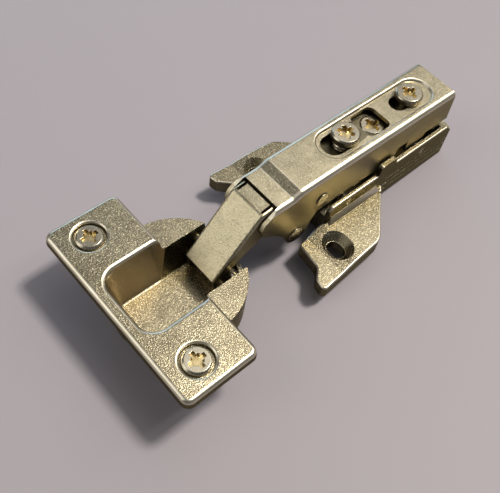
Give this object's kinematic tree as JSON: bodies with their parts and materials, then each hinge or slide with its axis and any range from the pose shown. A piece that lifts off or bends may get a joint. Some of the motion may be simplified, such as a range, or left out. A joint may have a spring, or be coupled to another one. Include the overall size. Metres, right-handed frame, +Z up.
{
  "type": "concealed cup hinge",
  "caption": "Concealed furniture hinge with die-cast cup, folded arm on two links, adjusting screws and a clip-on winged mounting plate.",
  "frame": {"origin": "on the mounting plate's base plane, midway between its two slotted screw holes", "axes": "+X along the arm towards the cup, +Y across the arm, +Z up from the base plane, out of the cabinet wall"},
  "size_m": [0.1162, 0.057, 0.0282],
  "materials": {
    "die_cast_zinc": "nickel-plated casting, satin with fine speckle",
    "pressed_steel": "nickel-plated sheet, satin",
    "bright_steel": "nickel-plated, polished",
    "spring_steel": "oiled spring steel",
    "dowel_plastic": "matte moulded"
  },
  "bodies": {
    "plate": {"mounting_plate": "die_cast_zinc", "hook_rod": "bright_steel", "catch_rod": "bright_steel"},
    "sled": {"sled": "pressed_steel", "lever_pin": "bright_steel", "lever_spring": "spring_steel"},
    "arm": {"arm": "pressed_steel", "arm_pin_front": "bright_steel", "arm_pin_rear": "bright_steel", "closing_spring": "spring_steel"},
    "outer_link": {"outer_link": "pressed_steel"},
    "cup": {"cup": "die_cast_zinc", "cup_screw_left": "bright_steel", "cup_screw_right": "bright_steel", "cup_dowel_left": "dowel_plastic", "cup_dowel_right": "dowel_plastic", "cup_pin_outer": "bright_steel", "cup_pin_inner": "bright_steel"},
    "inner_link": {"inner_link": "pressed_steel"},
    "side_screw": {"side_screw": "bright_steel"},
    "depth_cam": {"depth_cam": "bright_steel"},
    "clamp_screw": {"clamp_screw": "bright_steel"},
    "release_lever": {"release_lever": "pressed_steel"}
  },
  "joints": [
    {"name": "depth_slide", "type": "slide", "parent": "plate", "child": "sled", "axis": [1, 0, 0], "range_m": [-0.002, 0.003]},
    {"name": "side_tilt", "type": "hinge", "parent": "sled", "child": "arm", "pos_m": [-0.044, 0, 0.0225], "axis": [0, -1, 0], "range_deg": [-1.5, 1.5]},
    {"name": "outer_link_turn", "type": "hinge", "parent": "arm", "child": "outer_link", "pos_m": [-0.0001, 0, 0.016], "axis": [0, -1, 0], "range_deg": [-0.67, 12.01]},
    {"name": "cup_turn", "type": "hinge", "parent": "outer_link", "child": "cup", "pos_m": [0.031, 0, 0.0022], "axis": [0, -1, 0], "range_deg": [-4.33, 78]},
    {"name": "inner_link_turn", "type": "hinge", "parent": "cup", "child": "inner_link", "pos_m": [0.0284, 0, 0.0062], "axis": [0, -1, 0], "range_deg": [-88.95, 4.95]},
    {"name": "side_screw_turn", "type": "hinge", "parent": "arm", "child": "side_screw", "pos_m": [-0.0132, 0, 0.0242], "axis": [0, 0, 1], "range_deg": [-415, 415]},
    {"name": "depth_cam_turn", "type": "hinge", "parent": "sled", "child": "depth_cam", "pos_m": [-0.0247, 0, 0.022], "axis": [0, 0, 1], "range_deg": [-144.2, 216.2]},
    {"name": "clamp_screw_turn", "type": "hinge", "parent": "sled", "child": "clamp_screw", "pos_m": [-0.0382, 0, 0.0245], "axis": [0, 0, 1], "range_deg": [0, 540]},
    {"name": "release_lever_turn", "type": "hinge", "parent": "sled", "child": "release_lever", "pos_m": [-0.0466, 0, 0.013], "axis": [0, 1, 0], "range_deg": [0, 16], "stiffness_Nm_per_rad": 0.05, "springref_deg": -11.46}
  ],
  "couplings": [
    {"joint": "outer_link_turn", "follows": "cup_turn", "ratio": 0.15385},
    {"joint": "inner_link_turn", "follows": "cup_turn", "ratio": -1.1397},
    {"joint": "side_screw_turn", "follows": "side_tilt", "ratio": 276.5},
    {"joint": "depth_cam_turn", "follows": "depth_slide", "rad_per_m": 1256.6}
  ]
}
